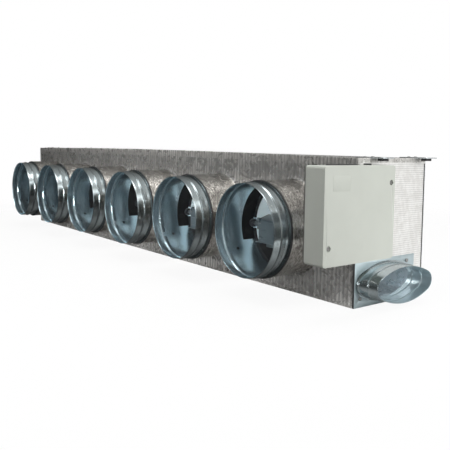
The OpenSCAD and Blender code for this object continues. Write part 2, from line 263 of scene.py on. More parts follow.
def moulded(name, colour, variation=0.05, roughness=(0.42, 0.55), texture=900, depth=0.05, rub=0.0):
    """Moulded plastic or rubber with a fine surface texture and slight colour variation.

    depth is the texture's in millimetres; rub is how much pale dust and wear lies on it.
    """
    mat = material(name, IOR=1.5)
    fine = grain(mat, texture, 2)
    cloud = grain(mat, 18, 4, 0.3)
    low = [c * (1 - variation) for c in colour]
    high = [min(1.0, c * (1 + variation)) for c in colour]
    tone = ramp(mat, cloud, (0.3, low), (0.7, high))
    if rub:
        dust = ramp(mat, grain(mat, 45, 6, 1.0), (0.5, 0.0), (0.8, rub))
        tone = blend_colour(mat, dust, tone, (0.35, 0.34, 0.32, 1))
    drive(
        mat,
        Base_Color=tone,
        Roughness=ramp(mat, cloud, (0.3, roughness[0]), (0.7, roughness[1])),
        Normal=bump(mat, fine, depth * MM, 0.6),
    )
    return mat


def brushed(name, tint, along=(1, 30, 30), gloss=(0.2, 0.34)):
    """Drawn or turned metal with fine lines along one axis."""
    mat = material(name, Metallic=1.0)
    lines = grain(mat, 60, 5, 0, stretch=along)
    drive(
        mat,
        Base_Color=ramp(mat, lines, (0.3, [c * 0.8 for c in tint]), (0.7, tint)),
        Roughness=ramp(mat, lines, (0.3, gloss[0]), (0.7, gloss[1])),
        Normal=bump(mat, lines, 0.03 * MM, 0.5),
    )
    return mat


def board(name):
    """Green circuit board with copper tracks under the solder mask."""
    mat = material(name, IOR=1.5)
    lengthwise, upright = bands(mat, "Y", 5 * MM, 0.9, 3.0), bands(mat, "Z", 7 * MM, 0.92, 2.0)
    tracks = maths(mat, "MAXIMUM", lengthwise, upright)
    drive(
        mat,
        Base_Color=ramp(mat, tracks, (0.1, (0.01, 0.09, 0.04)), (0.6, (0.03, 0.20, 0.09))),
        Roughness=ramp(mat, grain(mat, 80, 3), (0.3, 0.25), (0.7, 0.4)),
        Normal=bump(mat, tracks, 0.04 * MM, 0.7),
    )
    return mat


# The front's foil has broad upright ribs
RIBS = {"across": "XX", "pitch": 11 * MM, "thin": 0.35, "contrast": 0.12}

looks = {
    "galvanised_sheet": galvanised("galvanised_sheet", (0.74, 0.79, 0.82)),
    # The spigots' outside is a darker copy of the galvanised sheet: painted shade. The ring seats and the inlet
    # collar's outside share it.
    "spigot_steel": galvanised(
        "spigot_steel", (0.43, 0.485, 0.50), 70, gloss=(0.2, 0.28), streak=0.01, patch=0.07
    ),
    # The spigots' inside: a lighter, bluer and more diffuse copy of the sheet, painted light.
    "spigot_inner_painted_light": galvanised(
        "spigot_inner_painted_light", (0.66, 0.80, 0.86), 50, gloss=(0.2, 0.24), streak=0.004, metallic=0.9, patch=0.06
    ),
    # The inlet collar's inside: a lighter copy of the sheet than its outside, painted light.
    "inlet_inner_painted_light": galvanised(
        "inlet_inner_painted_light", (0.56, 0.65, 0.68), 50, gloss=(0.34, 0.4), streak=0.004, metallic=0.85, patch=0.06
    ),
    "inlet_plate": galvanised(
        "inlet_plate", (0.50, 0.59, 0.62), 70, gloss=(0.28, 0.38), streak=0.02, metallic=0.6, patch=0.12
    ),
    # The blade: a near-white, mostly diffuse copy of the galvanised sheet, painted light so that it shows bright
    # inside the tube.
    "blade_steel": galvanised(
        "blade_steel", (0.80, 0.93, 1.0), 60, gloss=(0.3, 0.36), streak=0.01, metallic=0.1, patch=0.06
    ),
    "fixing_steel": galvanised("fixing_steel", (0.34, 0.38, 0.40), 80, gloss=(0.5, 0.6)),
    "foil_insulation": foil(
        "foil_end",
        tint=(0.95, 0.945, 0.93),
        dark=(0.84, 0.83, 0.81),
        across="YZ",
        ripple=(60, 60, 60),
        creases=0.3,
        gloss=(0.36, 0.5),
        thread=0.5,
        metallic=0.5,
    ),
    # The front's foil is a darker copy of the end's foil: partly painted shade; its ribs, ripples and creases are
    # the foil's own.
    "foil_front_painted_shade": foil(
        "foil_front_painted_shade",
        tint=(0.91, 0.90, 0.88),
        dark=(0.42, 0.41, 0.395),
        ripple=(210, 60, 30),
        creases=0.55,
        gloss=(0.2, 0.36),
        thread=0.9,
        metallic=0.7,
        **RIBS,
    ),
    "foil_top": foil(
        "foil_top",
        tint=(0.84, 0.83, 0.82),
        dark=(0.5, 0.48, 0.46),
        across="XY",
        ripple=(120, 60, 60),
        creases=0.6,
        thread=0.3,
    ),
    "foil_sleeve": foil(
        "foil_sleeve",
        tint=(0.66, 0.64, 0.60),
        dark=(0.30, 0.28, 0.26),
        across="YX",
        ripple=(120, 300, 120),
        creases=0.8,
        gloss=(0.14, 0.3),
    ),
    "foil_tape": foil(
        "foil_tape",
        tint=(0.74, 0.73, 0.71),
        dark=(0.42, 0.41, 0.39),
        ripple=(210, 200, 60),
        creases=0.3,
        thread=0.6,
        metallic=0.5,
        **RIBS,
    ),
    "black_rubber": moulded("black_rubber", (0.018, 0.018, 0.02), 0.2, (0.5, 0.7), 700, 0.08, rub=0.12),
    "black_foam": moulded("black_foam", (0.012, 0.012, 0.013), 0.3, (0.8, 0.95), 1600, 0.35, rub=0.05),
    "foam_core": moulded("foam_core", (0.05, 0.05, 0.052), 0.3, (0.8, 0.9), 1500, 0.3),
    "motor_plastic": moulded("motor_plastic", (0.12, 0.155, 0.175), 0.1, (0.26, 0.36), 1100, 0.03, rub=0.06),
    "bush_nylon": moulded("bush_nylon", (0.05, 0.055, 0.06), 0.15, (0.35, 0.5)),
    "box_abs": moulded("box_abs", (0.57, 0.595, 0.545), 0.025, (0.38, 0.5), 800),
    # The box's base: a near-black copy of the box's grey plastic, painted shade.
    "base_abs_painted_shade": moulded("base_abs_painted_shade", (0.105, 0.105, 0.095), 0.1, (0.45, 0.6), 800, 0.06),
    "dark_rivet": moulded("dark_rivet", (0.012, 0.014, 0.016), 0.2, (0.5, 0.6)),
    "terminal_plastic": moulded("terminal_plastic", (0.03, 0.22, 0.08), 0.08),
    "loom_sheath": moulded("loom_sheath", (0.03, 0.03, 0.032), 0.2, (0.4, 0.6), 500, 0.2),
    "axle_steel": brushed("axle_steel", (0.66, 0.68, 0.70)),
    "fastener_steel": brushed("fastener_steel", (0.36, 0.36, 0.35), (20, 20, 20), (0.3, 0.5)),
    "circuit_board": board("circuit_board"),
}


# ------------------------ mesh tools


def link(name, data):
    """A new object in the scene, made of a mesh, a lamp or a camera."""
    made = bpy.data.objects.new(name, data)
    bpy.context.scene.collection.objects.link(made)
    return made


def from_bmesh(name, bm):
    """A new object from a bmesh, with its faces turned outwards."""
    bmesh.ops.recalc_face_normals(bm, faces=bm.faces)
    mesh = bpy.data.meshes.new(name)
    bm.to_mesh(mesh)
    bm.free()
    return link(name, mesh)


def solid(name, verts, faces):
    """A closed mesh from points and faces, with equal points merged."""
    bm = bmesh.new()
    made = [bm.verts.new(v) for v in verts]
    for face in faces:
        bm.faces.new([made[k] for k in face])
    bmesh.ops.remove_doubles(bm, verts=bm.verts, dist=1e-7)
    return from_bmesh(name, bm)


def apply_modifiers(piece):
    """Swaps the piece's mesh for the result of its modifiers."""
    view = bpy.context.evaluated_depsgraph_get()
    mesh = bpy.data.meshes.new_from_object(piece.evaluated_get(view))
    piece.modifiers.clear()
    piece.data = mesh


def finish_piece(piece, look, body="root", replaced=(), slot=None, crease=35):
    """Shading, material, body and the CAD nodes that the piece stands for. The slot argument is not used."""
    piece.data.shade_smooth()
    piece.data.set_sharp_from_angle(angle=math.radians(crease))
    piece.data.materials.clear()
    piece.data.materials.append(looks[look])
    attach(piece, body)
    if replaced:
        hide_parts(*replaced)
    return piece


def lathe(name, profile, x, z, segments=128, wobble=None):
    """A closed profile of (radius, y) points turned about a line along Y."""
    count = len(profile)
    verts = []
    for s in range(segments):
        angle = 2 * math.pi * s / segments
        for r, y in profile:
            out = r + (wobble(angle, y, r) if wobble else 0)
            verts.append((x + out * math.cos(angle), y, z + out * math.sin(angle)))
    faces = []
    for s in range(segments):
        here, there = s * count, (s + 1) % segments * count
        for k in range(count):
            after = (k + 1) % count
            faces.append((here + k, here + after, there + after, there + k))
    return solid(name, verts, faces)


def slab(name, columns, rows, upper, lower):
    """A closed slab between two grids of points, each a function of (u, v) from 0 to 1."""
    grid = [(i / columns, j / rows) for i in range(columns + 1) for j in range(rows + 1)]
    verts = [upper(u, v) for u, v in grid] + [lower(u, v) for u, v in grid]
    shift = len(grid)
    faces = []

    def at(i, j):
        return i * (rows + 1) + j

    for i in range(columns):
        for j in range(rows):
            quad = (at(i, j), at(i + 1, j), at(i + 1, j + 1), at(i, j + 1))
            faces += [quad, tuple(k + shift for k in quad)]
    rim = [at(i, 0) for i in range(columns)] + [at(columns, j) for j in range(rows)]
    rim += [at(i, rows) for i in range(columns, 0, -1)] + [at(0, j) for j in range(rows, 0, -1)]
    for a, b in zip(rim, rim[1:] + rim[:1]):
        faces.append((a, b, b + shift, a + shift))
    return solid(name, verts, faces)


def bevelled_block(bm, low, high, width, segments=3):
    """Adds a box with rounded edges to a bmesh."""
    made = bmesh.ops.create_cube(bm, size=1.0)["verts"]
    size = Vector(high) - Vector(low)
    middle = (Vector(high) + Vector(low)) / 2
    for vert in made:
        vert.co = Vector(a * b for a, b in zip(vert.co, size)) + middle
    edges = list({edge for vert in made for edge in vert.link_edges})
    bmesh.ops.bevel(bm, geom=edges, offset=width, segments=segments, profile=0.5, affect="EDGES")


def turned(bm, profile, place, axis, segments=20):
    """Adds a solid of revolution to a bmesh. profile is (radius, height) from pole to pole."""
    turn = Vector((0, 0, 1)).rotation_difference(Vector(axis)).to_matrix().to_4x4()
    where = Matrix.Translation(place) @ turn
    rings = []
    for r, h in profile:
        if r < 1e-9:
            rings.append([bm.verts.new(where @ Vector((0, 0, h)))])
            continue
        angles = [2 * math.pi * s / segments for s in range(segments)]
        circle = [Vector((r * math.cos(a), r * math.sin(a), h)) for a in angles]
        rings.append([bm.verts.new(where @ spot) for spot in circle])
    for low, high in zip(rings, rings[1:]):
        for s in range(segments):
            t = (s + 1) % segments
            corners = [low[s % len(low)], low[t % len(low)]]
            corners += [high[t % len(high)], high[s % len(high)]]
            bm.faces.new(list(dict.fromkeys(corners)))


def dome(radius, height, sink):
    """Profile of a rivet head: a low dome, sunk a little into what it fastens."""
    steps = 5
    arc = [math.pi / 2 * k / steps for k in range(steps)]
    curve = [(radius * math.cos(a), height * math.sin(a)) for a in arc]
    return [(0, -sink), (radius, -sink), *curve, (0, height)]


def domes(name, places, axis, radius, height, look, body="root", replaced=(), slot=None):
    """Rivet heads in one piece. axis is one direction, or a list with one for each place."""
    bm = bmesh.new()
    axes = axis if isinstance(axis, list) else [axis] * len(places)
    sink = 0.1 * MM
    for place, direction in zip(places, axes):
        turned(bm, dome(radius, height, sink), place, direction)
    return finish_piece(from_bmesh(name, bm), look, body, replaced, slot)


def softened(node_name, width, segments=2, look=None, angle=30, chosen=None):
    """The CAD node's own shape with its sharp edges rounded, or only those whose ends are chosen."""
    bm = bmesh.new()
    bm.from_mesh(NODES[node_name].data)
    bmesh.ops.remove_doubles(bm, verts=bm.verts, dist=2e-6)
    bmesh.ops.dissolve_limit(bm, angle_limit=math.radians(0.4), verts=bm.verts, edges=bm.edges)
    if chosen:
        weight = bm.edges.layers.float.new("bevel_weight_edge")
        for edge in bm.edges:
            edge[weight] = 1.0 if all(chosen(vert.co) for vert in edge.verts) else 0.0
    piece = from_bmesh(node_name + "_shape", bm)
    edges = piece.modifiers.new("edges", "BEVEL")
    edges.width = width
    edges.segments = segments
    edges.limit_method = "WEIGHT" if chosen else "ANGLE"
    edges.angle_limit = math.radians(angle)
    apply_modifiers(piece)
    slot = SLOT_OF[node_name]
    return finish_piece(piece, look or slot, BODY_OF[node_name], [node_name], slot)


def waviness(x, y, z, size, seed=0.0):
    """Smooth noise from -1 to 1 with features about size metres across."""
    return noise.noise(Vector((x / size + seed, y / size - seed, z / size + 2 * seed)))


# ------------------------ camera and light


AZIMUTH, ELEVATION, ROLL = (math.radians(angle) for angle in (50.98, 4.43, 0.97))
CAMERA_FROM_CORNER = Vector((0.8091, -0.9283, 0.3236))


def make_camera():
    """The photograph's own view, worked out from the casing's edges and the spigots' rims."""
    camera = link("camera", bpy.data.cameras.new("camera"))
    level = math.cos(ELEVATION)
    back = Vector((math.sin(AZIMUTH) * level, -math.cos(AZIMUTH) * level, math.sin(ELEVATION)))
    right = Vector((0, 0, 1)).cross(back).normalized()
    up = back.cross(right)
    tilted = right * math.cos(ROLL) + up * math.sin(ROLL)
    upward = up * math.cos(ROLL) - right * math.sin(ROLL)
    turn = Matrix((tilted, upward, back)).transposed().to_4x4()
    near_corner = Vector((case_high.x, case_low.y, case_low.z))
    camera.matrix_world = Matrix.Translation(near_corner + CAMERA_FROM_CORNER) @ turn
    camera.data.sensor_width = 36
    camera.data.lens = 48.86
    camera.data.shift_x = -0.0569
    camera.data.shift_y = -0.0684
    camera.data.clip_start = 0.05
    camera.data.clip_end = 60
    bpy.context.scene.camera = camera


def area_light(name, place, aim, size, power, spread=180):
    """A soft rectangular lamp; spread is the angle in degrees that its beam fans out to."""
    light = bpy.data.lights.new(name, "AREA")
    light.shape = "RECTANGLE"
    light.size, light.size_y = size
    light.energy = power
    light.spread = math.radians(spread)
    lamp = link(name, light)
    lamp.location = place
    lamp.rotation_mode = "QUATERNION"
    lamp.rotation_quaternion = (Vector(aim) - Vector(place)).to_track_quat("-Z", "Y")


# The way to the brightest part of the sky, and its grey at each share of the way round to there
BRIGHT_SIDE = Vector((0.72, 0.42, 0.55)).normalized()
SKY_GREYS = [(0.0, 0.045), (0.25, 0.085), (0.5, 0.2), (0.72, 0.45), (1.0, 0.7)]


def make_sky():
    """White to the camera. For light and reflections it is bright above, behind and to the
    right, and dim to the front left, as in the photograph's metal."""
    world = bpy.data.worlds.new("studio")
    bpy.context.scene.world = world
    world.use_nodes = True
    tree = world.node_tree
    place = link_nodes(tree, "TexCoord").outputs["Generated"]
    facing = link_nodes(tree, "VectorMath", {0: place, 1: BRIGHT_SIDE}, operation="DOT_PRODUCT")
    share = link_nodes(tree, "MapRange", {"Value": facing.outputs["Value"], "From Min": -1.0})
    sky = link_nodes(tree, "ValToRGB", {"Fac": share.outputs["Result"]})
    lit = set_stops(sky, [(position, (grey, grey, grey * 0.98)) for position, grey in SKY_GREYS])
    seen = link_nodes(tree, "LightPath").outputs["Is Camera Ray"]
    colours = {"Fac": seen, "Color1": lit, "Color2": (1, 1, 1, 1)}
    mix = link_nodes(tree, "MixRGB", colours)
    tree.links.new(mix.outputs["Color"], tree.nodes["Background"].inputs["Color"])


FLOOR_GLOW = 0.93
FLOOR_DARK_TO, FLOOR_PALE_FROM = -0.2, 0.03
FLOOR_FADE_FROM, FLOOR_FADE_TO = 1.1, 2.2


def floor_paint():
    """To the camera, a pale floor that is mostly plain white; to other rays, dark in front of
    the object and pale under it. It fades out round the object."""
    paint = material("floor_paint", Roughness=0.9)
    tree = paint.node_tree
    seen = link_nodes(tree, "LightPath").outputs["Is Camera Ray"]
    place = link_nodes(tree, "TexCoord").outputs["Object"]
    depth = link_nodes(tree, "SeparateXYZ", {0: place}).outputs["Y"]
    limits = {"Value": depth, "From Min": FLOOR_DARK_TO, "From Max": FLOOR_PALE_FROM}
    near = link_nodes(tree, "MapRange", limits).outputs["Result"]
    bounced = ramp(paint, near, (0.0, 0.05), (1.0, 0.85))
    pale = ramp(paint, grain(paint, 3, 2), (0.3, 0.9), (0.7, 0.94))
    drive(paint, Base_Color=blend_colour(paint, seen, bounced, pale))
    radius = link_nodes(tree, "VectorMath", {0: place}, operation="LENGTH").outputs["Value"]
    limits = {"Value": radius, "From Min": FLOOR_FADE_FROM, "From Max": FLOOR_FADE_TO}
    fade = link_nodes(tree, "MapRange", limits, interpolation_type="SMOOTHSTEP")
    plain = link_nodes(tree, "MixShader", {0: maths(paint, "MULTIPLY", seen, FLOOR_GLOW)})
    tree.links.new(tree.nodes["Principled BSDF"].outputs["BSDF"], plain.inputs[1])
    tree.links.new(link_nodes(tree, "Emission").outputs["Emission"], plain.inputs[2])
    both = link_nodes(tree, "MixShader", {0: fade.outputs["Result"]})
    tree.links.new(plain.outputs["Shader"], both.inputs[1])
    tree.links.new(link_nodes(tree, "BsdfTransparent").outputs["BSDF"], both.inputs[2])
    tree.links.new(both.outputs["Shader"], tree.nodes["Material Output"].inputs["Surface"])
    return paint


def make_floor():
    """A round floor just under the object."""
    bm = bmesh.new()
    bmesh.ops.create_circle(bm, cap_ends=True, segments=96, radius=3.2)
    floor = from_bmesh("floor", bm)
    floor.location = (0.1, -0.1, case_low.z - 0.6 * MM)
    floor.data.materials.append(floor_paint())


def make_studio():
    """Sky, floor and lamps. One lamp is inside the casing, and lights what shows through the
    inlet's collar; the spigots' lamp has a narrow beam that misses the control box."""
    make_sky()
    make_floor()
    centre = (case_low + case_high) / 2
    end = centre + Vector((0.8, 0, 0))
    inside = Vector((case_high.x - 75 * MM, 0, case_high.z * 0.75))
    downward = inside + Vector((-0.02, 0.11, -0.12))
    area_light("end_light", end + Vector((2.4, 0.5, 1.0)), end, (2.6, 2.6), 40)
    area_light("top_light", centre + Vector((0.7, -0.35, 2.6)), centre, (2.4, 1.2), 44)
    area_light("inner_light", inside, downward, (0.13, 0.18), 0.34)
    area_light("front_light", centre + Vector((0.5, -3.0, 0.42)), centre, (0.6, 0.16), 6.2)
    area_light("spigot_light", centre + Vector((1.2, -3.1, 0.35)), centre, (1.0, 0.5), 1.9, 30)
    bpy.context.scene.view_settings.view_transform = "Standard"


# ------------------------ casing


CROWN = 5.5 * MM


def crown(x, y):
    """How far the wrap bulges above the flat top: most at mid-length, along the front edge."""
    along = 1 - (x / case_high.x) ** 2
    back = (y - case_low.y) / (case_high.y - case_low.y)
    return CROWN * along * (1 - back) ** 0.7


def foil_wave(x, y, z):
    """Unevenness of the foil over its foam: broad waves and finer creases."""
    return 0.45 * MM * waviness(x, y, z, 0.045, 3.1) + 0.25 * MM * waviness(x, y, z, 0.016, 7.7)


WRAP_STEPS = 20
WRAP_RINGS = 9


def wrap_point(bm, x, z):
    """A point on the front wrap's uneven face."""
    return bm.verts.new((x, front_low.y - 0.15 * MM + foil_wave(x, 0, z), z))


def rectangle(x0, x1, z0, z1, steps):
    """Points round a rectangle from its lower left corner, with the same number on each side."""
    shares = [k / steps for k in range(steps)]
    bottom = [(x0 + (x1 - x0) * t, z0) for t in shares]
    right = [(x1, z0 + (z1 - z0) * t) for t in shares]
    top = [(x1 - (x1 - x0) * t, z1) for t in shares]
    left = [(x0, z1 - (z1 - z0) * t) for t in shares]
    return bottom + right + top + left


def wrap_round_spigot(bm, zone, half):
    """Faces from the spigot's hole out to a rectangle that reaches half to each side."""
    hole = tube_r + 0.4 * MM
    border = rectangle(zone.x - half, zone.x + half, front_low.z, front_high.z, WRAP_STEPS)
    rows = []
    for k in range(WRAP_RINGS + 1):
        share = (k / WRAP_RINGS) ** 1.4
        row = []
        for x, z in border:
            angle = math.atan2(z - zone.z, x - zone.x)
            cx, cz = zone.x + hole * math.cos(angle), zone.z + hole * math.sin(angle)
            row.append(wrap_point(bm, cx + (x - cx) * share, cz + (z - cz) * share))
        rows.append(row)
    for inner, outer in zip(rows, rows[1:]):
        for k in range(len(border)):
            after = (k + 1) % len(border)
            bm.faces.new((inner[k], inner[after], outer[after], outer[k]))


def wrap_end(bm, x0, x1):
    """A grid of faces from x0 to x1, beyond the last spigot."""
    z0, z1 = front_low.z, front_high.z
    xs = [x0 + (x1 - x0) * i / 4 for i in range(5)]
    zs = [z0 + (z1 - z0) * j / WRAP_STEPS for j in range(WRAP_STEPS + 1)]
    columns = [[wrap_point(bm, x, z) for z in zs] for x in xs]
    for a, b in zip(columns, columns[1:]):
        for j in range(WRAP_STEPS):
            bm.faces.new((a[j], b[j], b[j + 1], a[j + 1]))


def front_wrap():
    """Insulation on the front, with a ring of faces round each spigot."""
    half = (zones[1].x - zones[0].x) / 2
    bm = bmesh.new()
    for zone in zones:
        wrap_round_spigot(bm, zone, half)
    wrap_end(bm, front_low.x, zones[0].x - half)
    wrap_end(bm, zones[-1].x + half, front_high.x)
    bmesh.ops.remove_doubles(bm, verts=bm.verts, dist=1e-5)
    piece = from_bmesh("front_wrap", bm)
    if piece.data.polygons[0].normal.y > 0:
        piece.data.flip_normals()
    thick = piece.modifiers.new("thick", "SOLIDIFY")
    thick.thickness = foam_t - 0.8 * MM
    thick.offset = -1
    apply_modifiers(piece)
    # The front takes the darker copy of the foil: painted shade.
    return finish_piece(piece, "foil_front_painted_shade", "root", ["front_insulation"], "foil_insulation")


def top_wrap():
    """Insulation on the top, crowned, with its front and end edges rounded."""
    low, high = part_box("top_insulation")
    width, depth = high.x - low.x, high.y - low.y
    fillet = 6 * MM

    def upper(u, v):
        x, y = low.x + width * u, low.y + depth * v
        edge = min(u * width, (1 - u) * width, v * depth)
        drop = 1.5 * MM * max(0.0, 1 - edge / fillet) ** 2
        return (x, y, high.z + crown(x, y) - drop + 0.6 * foil_wave(x, y, 0))

    def lower(u, v):
        return (low.x + width * u, low.y + depth * v, low.z)

    piece = slab("top_wrap", 150, 24, upper, lower)
    finish_piece(piece, "foil_top", "root", ["top_insulation"], "foil_insulation", 50)


def bottom_wrap():
    """Insulation under the casing, slightly uneven."""
    low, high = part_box("bottom_insulation")
    width, depth = high.x - low.x, high.y - low.y

    def lower(u, v):
        x, y = low.x + width * u, low.y + depth * v
        return (x, y, low.z + 0.25 * MM + 0.5 * abs(foil_wave(x, y, 1)))

    def upper(u, v):
        return (low.x + width * u, low.y + depth * v, high.z)

    piece = slab("bottom_wrap", 120, 18, upper, lower)
    finish_piece(piece, "foil_top", "root", ["bottom_insulation"], "foil_insulation", 50)


def edge_tape(name, start, end, flap_a, flap_b, out_a, out_b, lift=None, width=17 * MM):
    """Foil tape folded over an edge from start to end.

    flap_a and flap_b point from the edge across its two faces, and out_a and out_b point out of
    those faces. lift is a function of x and y that raises the tape.
    """
    start, end = Vector(start), Vector(end)
    flap_a, flap_b = Vector(flap_a), Vector(flap_b)
    out_a, out_b = Vector(out_a), Vector(out_b)
    steps = max(8, int((end - start).length / (12 * MM)))
    gap, thick, bend = 0.25 * MM, 0.3 * MM, 1.2 * MM
    # how far along flap_a or flap_b; in the bend, how far along both; then 0, 1 for the bend, or 2
    across = [(width * t, 0.0, 0) for t in (1.0, 0.75, 0.5, 0.25)]
    across += [(bend * (1 - math.sin(a)), bend * (1 - math.cos(a)), 1) for a in (0.3, 0.785, 1.27)]
    across += [(width * t, 0.0, 2) for t in (0.25, 0.5, 0.75, 1.0)]

    def surface(u, v, extra):
        spot = start.lerp(end, u)
        k = round(v * (len(across) - 1))
        run, dip, part = across[k]
        ragged = 1 + 0.05 * waviness(spot.x, spot.y, spot.z, 0.03, k < 5)
        slip = k * 4 * MM
        puff = gap + extra + 0.18 * MM * waviness(spot.x + slip, spot.y, spot.z + slip, 0.02, 5.0)
        if part == 0:
            spot += flap_a * run * ragged + out_a * puff
        elif part == 2:
            spot += flap_b * run * ragged + out_b * puff
        else:
            spot += flap_a * run + flap_b * dip + (out_a + out_b).normalized() * puff
        if lift:
            spot.z += lift(spot.x, case_low.y)
        return tuple(spot)

    outside, inside = (lambda u, v: surface(u, v, thick)), (lambda u, v: surface(u, v, 0))
    piece = slab(name, steps, len(across) - 1, outside, inside)
    return finish_piece(piece, "foil_tape", "root", (), "foil_insulation", 50)


def tapes():
    """Foil tape over the long edges and round the right end."""
    x0, x1 = case_low.x, case_high.x
    y0, y1 = case_low.y, case_high.y - 2 * MM
    z0, z1 = case_low.z, case_high.z
    left, right, front, rear = (-1, 0, 0), (1, 0, 0), (0, -1, 0), (0, 1, 0)
    down, up = (0, 0, -1), (0, 0, 1)
    edge_tape("tape_top_front", (x0, y0, z1), (x1, y0, z1), down, rear, front, up, crown)
    edge_tape("tape_top_right", (x1, y0, z1), (x1, y1, z1), down, left, right, up, width=9 * MM)
    edge_tape("tape_top_left", (x0, y0, z1), (x0, y1, z1), down, right, left, up)
    edge_tape("tape_left_front", (x0, y0, z0), (x0, y0, z1), right, rear, front, left)


def foam_edges():
    """The foil is cut along the end's two upright edges, where the dark foam core shows."""
    bm = bmesh.new()
    x, low, high = case_high.x, case_low.z + 0.8 * MM, case_high.z - 12 * MM
    front_strip = (case_low.y + 0.2 * MM, case_low.y + foam_t)
    rear_strip = (case_high.y - 5 * MM, case_high.y - 1.6 * MM)
    for y0, y1 in (front_strip, rear_strip):
        bevelled_block(bm, (x - 1 * MM, y0, low), (x + 0.45 * MM, y1, high), 0.3 * MM)
    cut = case_low.y - 0.75 * MM
    bevelled_block(bm, (x - 4 * MM, cut, low), (x + 0.3 * MM, case_low.y + 1 * MM, high), 0.3 * MM)
    finish_piece(from_bmesh("foam_edges", bm), "foam_core", "root", (), "black_foam")


def casing_rivets():
    """Rivets of the suspension lugs and of the rear flange."""
    lug_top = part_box("suspension_lugs")[1].z
    x_rivet = case_high.x - 21 * MM
    rows = [MOUNTS[name]["pos_m"][1] for name in ("front_lugs", "rear_lugs")]
    ys = [y + dy for y in rows for dy in (-12 * MM, 12 * MM)]
    spots = [(side * x_rivet, y, lug_top) for side in (-1, 1) for y in ys]
    domes("lug_rivets", spots, (0, 0, 1), 4 * MM, 1.8 * MM, "fastener_steel")
    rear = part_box("rear_flange")[1].y
    inset, margin, count = 14 * MM, 9 * MM, 8
    run = case_high.x - case_low.x - 2 * inset
    xs = [case_low.x + inset + run * (2 * k + 1) / (2 * count) for k in range(count)]
    places = [(x, rear, z) for x in xs for z in (case_low.z + margin, case_high.z - margin)]
    domes("flange_rivets", places, (0, 1, 0), 2.6 * MM, 1.2 * MM, "fastener_steel")


def casing():
    """Insulation, tape, flange, bracket and lugs."""
    front_wrap()
    top_wrap()
    bottom_wrap()
    tapes()
    foam_edges()
    softened("rear_flange", 0.3 * MM)
    softened("box_bracket", 0.4 * MM)
    softened("suspension_lugs", 0.5 * MM)
    softened("lug_pads", 0.8 * MM)
    casing_rivets()


# ------------------------ spigots


def line_inside(piece, look, inward):
    """Gives a second look to the faces for which inward(face) is true."""
    piece.data.materials.append(looks[look])
    for face in piece.data.polygons:
        face.material_index = 1 if inward(face) else 0


def bead(y, middle, half=3.4 * MM, height=2.1 * MM):
    """Height of the rolled bead above the tube at y."""
    t = abs(y - middle) / half
    return height * 0.5 * (1 + math.cos(math.pi * t)) if t < 1 else 0.0


def spigot_tube(zone):
    """Tube with a hemmed mouth, a rolled bead and a base flange."""
    low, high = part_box(f"spigot_{zone.number}")
    ring_low, ring_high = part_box("sleeve_rings")
    bead_y = zone.mouth + 20 * MM
    shoulder = zone.mouth + 31 * MM
    ys = [zone.mouth + 0.35 * MM, zone.mouth + 4 * MM, zone.mouth + 12 * MM]
    ys += [bead_y + (k - 7) * 0.5 * MM for k in range(15)]
    ys += [shoulder - 1 * MM, shoulder, shoulder + 1 * MM]
    ys += [(ring_low.y + ring_high.y) / 2, zone.base - 2 * sheet_t]
    step = 0.25 * MM
    outer = [(tube_r + bead(y, bead_y) + (0 if y < shoulder else -step), y) for y in ys]
    inner = [(r - sheet_t, y) for r, y in reversed(outer)]
    flange_r = (high.x - low.x) / 2
    near, far = zone.base - sheet_t, zone.base
    flange = [(tube_r, near), (flange_r, near), (flange_r, far), (tube_r - sheet_t, far)]
    hem = [(tube_r - sheet_t * 0.75, zone.mouth), (tube_r - sheet_t * 0.25, zone.mouth)]
    profile = hem + outer + flange + inner
    piece = lathe(f"spigot_tube_{zone.number}", profile, zone.x, zone.z, 144)
    # The tube's outside takes the darker copy of the sheet, painted shade; its inside takes the lighter copy,
    # painted light.
    finish_piece(piece, "spigot_steel", "root", [f"spigot_{zone.number}"], crease=40)

    def inward(face):
        dx, dz = face.center.x - zone.x, face.center.z - zone.z
        return dx * face.normal.x + dz * face.normal.z < 0 and math.hypot(dx, dz) < tube_r + 3 * MM

    # The inside faces take the lighter copy: painted light.
    line_inside(piece, "spigot_inner_painted_light", inward)


SEAM_ANGLE = math.radians(212.5)


def spigot_seam(zone):
    """The tube's lap seam: a thin strip inside."""
    r0, r1 = tube_r - sheet_t - 0.3 * MM, tube_r - sheet_t - 0.02 * MM
    half = 0.06
    y0, y1 = zone.mouth + 24 * MM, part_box("spigot_linings")[0].y - 1 * MM

    def wall(r):
        def point(u, v):
            angle = SEAM_ANGLE - half + 2 * half * u
            return (zone.x + r * math.cos(angle), y0 + (y1 - y0) * v, zone.z + r * math.sin(angle))
        return point

    # The seam strip takes the inside's lighter copy: painted light.
    finish_piece(slab(f"spigot_seam_{zone.number}", 8, 3, wall(r1), wall(r0)), "spigot_inner_painted_light")


SLEEVE_SEAT = tube_r + 0.35 * MM


def sleeve(zone):
    """Foil-wrapped sleeve with creases, flared where it meets the front."""
    low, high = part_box("spigot_sleeves")
    out_r = (high.z - low.z) / 2
    start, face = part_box("sleeve_rings")[1].y, high.y
    seed = 0.37 * zone.number

    def wrinkle(angle, y, r):
        if r < SLEEVE_SEAT + 1 * MM:
            return 0
        px, pz = out_r * math.cos(angle), out_r * math.sin(angle)
        spiral = waviness(px + 0.6 * y, y, pz - 0.6 * y, 0.014, seed)
        return -0.35 * MM + 0.55 * MM * waviness(px, y, pz, 0.03, seed) + 0.4 * MM * spiral

    def flare(y):
        return 5 * MM * max(0.0, 1 - (face - y) / (7 * MM)) ** 2

    count = 26
    ys = [start + (face - start) * k / count for k in range(count + 1)]
    profile = [(SLEEVE_SEAT, start), *[(out_r + flare(y), y) for y in ys], (SLEEVE_SEAT, face)]
    piece = lathe(f"sleeve_{zone.number}", profile, zone.x, zone.z, 132, wrinkle)
    finish_piece(piece, "foil_sleeve", "root", ["spigot_sleeves"], crease=50)


